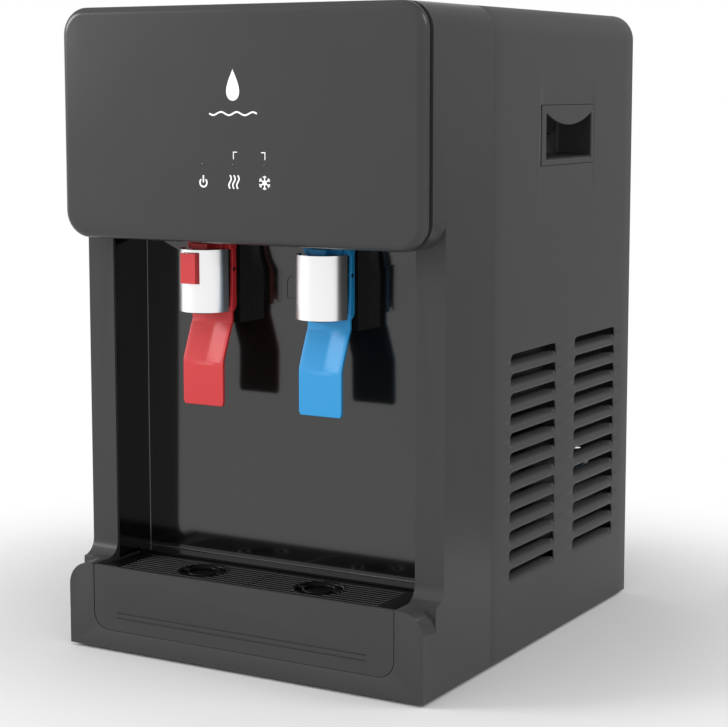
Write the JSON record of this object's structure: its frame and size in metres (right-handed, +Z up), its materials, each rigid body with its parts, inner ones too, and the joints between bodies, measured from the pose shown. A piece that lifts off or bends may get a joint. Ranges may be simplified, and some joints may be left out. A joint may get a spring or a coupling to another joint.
{
  "type": "countertop water dispenser",
  "caption": "Countertop hot and cold water dispenser with two lever taps in an open alcove, a slide-out drip tray, a rounded control head, louvred sides and hand grips.",
  "frame": {"origin": "on the countertop, under the middle of the case", "axes": "+Z up, -Y out of the front of the case, +X to the right seen from the front"},
  "size_m": [0.305, 0.356, 0.48],
  "materials": {
    "case_plastic": "satin moulded ABS, dark grey",
    "steel_wrap": "satin powder-coated steel, dark grey",
    "alcove_plastic": "satin moulded ABS, dark grey",
    "tap_black": "satin black moulded plastic",
    "grille_black": "gloss black moulded plastic",
    "grip_black": "fine-textured black plastic",
    "tap_silver": "satin silver metallic coating on plastic",
    "hot_red": "semi-gloss red moulded plastic",
    "cold_blue": "semi-gloss blue moulded plastic",
    "switch_red": "gloss red plastic",
    "switch_blue": "gloss blue plastic",
    "indicator": "smoked clear plastic",
    "rubber_black": "matt moulded rubber",
    "stainless": "brushed stainless steel",
    "zinc_steel": "zinc-plated steel",
    "silicone": "translucent food-grade silicone",
    "white_plastic": "white moulded plastic",
    "foam": "black elastomeric insulation foam",
    "copper": "drawn copper",
    "circuit_board": "green solder mask",
    "black_enamel": "black enamel on steel",
    "galvanised": "galvanised sheet steel"
  },
  "bodies": {
    "case": {"front_panel": "case_plastic", "front_frame": "case_plastic", "wrap_cover": "steel_wrap", "back_panel": "steel_wrap", "alcove_liner": "alcove_plastic", "tap_blanking_plate": "alcove_plastic", "hot_tap_body": "tap_black", "cold_tap_body": "tap_black", "cord_gland": "tap_black", "left_hand_grip": "grip_black", "right_hand_grip": "grip_black", "hot_tap_cover": "tap_silver", "cold_tap_cover": "tap_silver", "power_light": "indicator", "hot_light": "indicator", "cold_light": "indicator", "foot_front_left": "rubber_black", "foot_front_right": "rubber_black", "foot_rear_left": "rubber_black", "foot_rear_right": "rubber_black", "compressor_grommets": "rubber_black", "hot_tank": "stainless", "cold_tank": "stainless", "hot_lever_pin": "stainless", "cold_lever_pin": "stainless", "hot_valve_spring": "stainless", "cold_valve_spring": "stainless", "hot_safety_spring": "stainless", "case_screws": "zinc_steel", "band_heater": "zinc_steel", "hot_outlet_tube": "silicone", "cold_outlet_tube": "silicone", "inlet_tube": "silicone", "hot_tap_nut": "white_plastic", "cold_tap_nut": "white_plastic", "thermostat": "white_plastic", "sediment_filter": "white_plastic", "carbon_filter": "white_plastic", "filter_head": "white_plastic", "inlet_fitting": "white_plastic", "hot_drain_plug": "white_plastic", "cold_drain_plug": "white_plastic", "cold_tank_foam": "foam", "evaporator_coil": "copper", "filter_drier": "copper", "control_board": "circuit_board", "compressor": "black_enamel", "condenser": "black_enamel", "base_pan": "galvanised"},
    "hot_lever": {"hot_lever": "hot_red"},
    "cold_lever": {"cold_lever": "cold_blue"},
    "hot_valve": {"hot_valve_stem": "stainless", "hot_valve_seal": "silicone"},
    "cold_valve": {"cold_valve_stem": "stainless", "cold_valve_seal": "silicone"},
    "safety_button": {"hot_safety_button": "hot_red"},
    "drip_tray": {"drip_tray": "case_plastic"},
    "drip_grille": {"drip_grille": "grille_black"},
    "hot_switch": {"hot_switch": "switch_red"},
    "cold_switch": {"cold_switch": "switch_blue"}
  },
  "joints": [
    {"name": "hot_lever_hinge", "type": "hinge", "parent": "case", "child": "hot_lever", "pos_m": [-0.0505, -0.132, 0.29], "axis": [1, 0, 0], "range_deg": [0, 10], "stiffness_Nm_per_rad": 0.35, "springref_deg": -14.32},
    {"name": "cold_lever_hinge", "type": "hinge", "parent": "case", "child": "cold_lever", "pos_m": [0.0505, -0.132, 0.29], "axis": [1, 0, 0], "range_deg": [0, 10], "stiffness_Nm_per_rad": 0.35, "springref_deg": -14.32},
    {"name": "hot_valve_slide", "type": "slide", "parent": "case", "child": "hot_valve", "axis": [0, 0, -1], "range_m": [0, 0.0027], "deforming": ["hot_valve_spring"]},
    {"name": "cold_valve_slide", "type": "slide", "parent": "case", "child": "cold_valve", "axis": [0, 0, -1], "range_m": [0, 0.0027], "deforming": ["cold_valve_spring"]},
    {"name": "safety_button_slide", "type": "slide", "parent": "case", "child": "safety_button", "axis": [0, 1, 0], "range_m": [0, 0.002], "stiffness_N_per_m": 600, "springref_m": -0.002, "deforming": ["hot_safety_spring"]},
    {"name": "drip_tray_slide", "type": "slide", "parent": "case", "child": "drip_tray", "axis": [0, -1, 0], "range_m": [0, 0.055]},
    {"name": "drip_grille_lift", "type": "slide", "parent": "drip_tray", "child": "drip_grille", "axis": [0, 0, 1], "range_m": [0, 0.03]},
    {"name": "hot_switch_rock", "type": "hinge", "parent": "case", "child": "hot_switch", "pos_m": [0.084, 0.163, 0.11], "axis": [1, 0, 0], "range_deg": [-12, 12]},
    {"name": "cold_switch_rock", "type": "hinge", "parent": "case", "child": "cold_switch", "pos_m": [0.116, 0.163, 0.11], "axis": [1, 0, 0], "range_deg": [-12, 12]}
  ],
  "couplings": [
    {"joint": "hot_valve_slide", "follows": "hot_lever_hinge", "m_per_rad": 0.0146},
    {"joint": "cold_valve_slide", "follows": "cold_lever_hinge", "m_per_rad": 0.0146}
  ]
}
